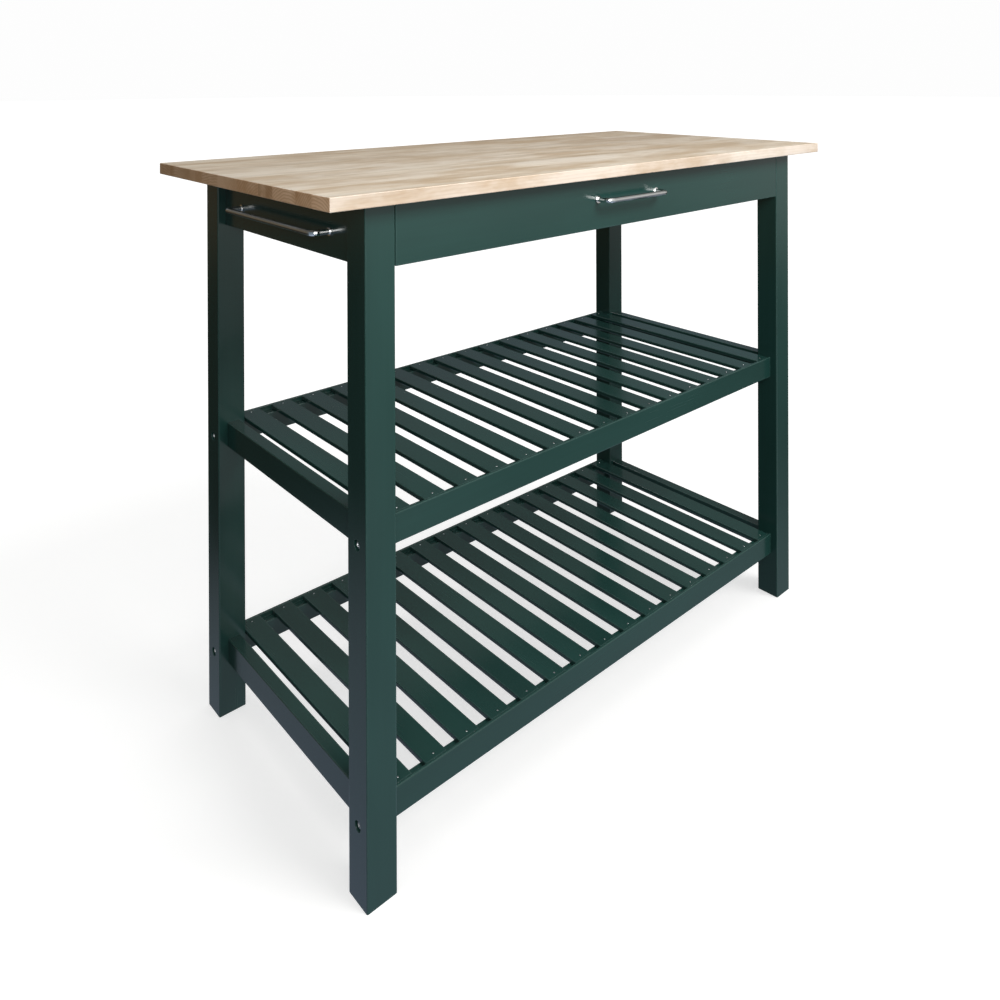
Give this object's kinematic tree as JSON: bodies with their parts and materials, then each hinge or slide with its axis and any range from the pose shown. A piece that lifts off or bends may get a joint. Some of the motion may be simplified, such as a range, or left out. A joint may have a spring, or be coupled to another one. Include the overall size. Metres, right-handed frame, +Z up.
{
  "type": "butcher block table",
  "caption": "Kitchen work table with a butcher block top on four square legs, a wide shallow drawer with a bar pull, a towel bar on the left end and two open shelves of slats.",
  "frame": {"origin": "on the floor under the middle of the worktop", "axes": "+Z up, +X along the length with the towel bar on the -X end, -Y towards the front with the drawer"},
  "size_m": [1.13, 0.56, 0.914],
  "materials": {
    "green_paint": "dark green satin paint on solid wood",
    "butcher_block": "natural clear-coated hardwood staves, satin",
    "drawer_wood": "clear-lacquered pale wood, satin",
    "polished_steel": "polished, nickel toned",
    "zinc_steel": "bright zinc plated sheet"
  },
  "bodies": {
    "frame": {"worktop": "butcher_block", "leg_front_left": "green_paint", "leg_front_right": "green_paint", "leg_back_left": "green_paint", "leg_back_right": "green_paint", "apron_left": "green_paint", "apron_right": "green_paint", "apron_back": "green_paint", "front_stretcher": "green_paint", "towel_bar": "polished_steel", "slide_channel_left": "zinc_steel", "slide_channel_right": "zinc_steel", "lower_shelf_front_rail": "green_paint", "lower_shelf_back_rail": "green_paint", "lower_shelf_left_rail": "green_paint", "lower_shelf_right_rail": "green_paint", "lower_shelf_slat_01": "green_paint", "lower_shelf_slat_02": "green_paint", "lower_shelf_slat_03": "green_paint", "lower_shelf_slat_04": "green_paint", "lower_shelf_slat_05": "green_paint", "lower_shelf_slat_06": "green_paint", "lower_shelf_slat_07": "green_paint", "lower_shelf_slat_08": "green_paint", "lower_shelf_slat_09": "green_paint", "lower_shelf_slat_10": "green_paint", "lower_shelf_slat_11": "green_paint", "lower_shelf_slat_12": "green_paint", "lower_shelf_slat_13": "green_paint", "lower_shelf_slat_14": "green_paint", "lower_shelf_slat_15": "green_paint", "lower_shelf_slat_16": "green_paint", "middle_shelf_front_rail": "green_paint", "middle_shelf_back_rail": "green_paint", "middle_shelf_left_rail": "green_paint", "middle_shelf_right_rail": "green_paint", "middle_shelf_slat_01": "green_paint", "middle_shelf_slat_02": "green_paint", "middle_shelf_slat_03": "green_paint", "middle_shelf_slat_04": "green_paint", "middle_shelf_slat_05": "green_paint", "middle_shelf_slat_06": "green_paint", "middle_shelf_slat_07": "green_paint", "middle_shelf_slat_08": "green_paint", "middle_shelf_slat_09": "green_paint", "middle_shelf_slat_10": "green_paint", "middle_shelf_slat_11": "green_paint", "middle_shelf_slat_12": "green_paint", "middle_shelf_slat_13": "green_paint", "middle_shelf_slat_14": "green_paint", "middle_shelf_slat_15": "green_paint", "middle_shelf_slat_16": "green_paint"},
    "drawer": {"drawer_face": "green_paint", "drawer_side_left": "drawer_wood", "drawer_side_right": "drawer_wood", "drawer_back": "drawer_wood", "drawer_bottom": "drawer_wood", "drawer_pull": "polished_steel", "slide_runner_left": "zinc_steel", "slide_runner_right": "zinc_steel"}
  },
  "joints": [
    {"name": "drawer_slide", "type": "slide", "parent": "frame", "child": "drawer", "axis": [0, -1, 0], "range_m": [0, 0.33]}
  ]
}
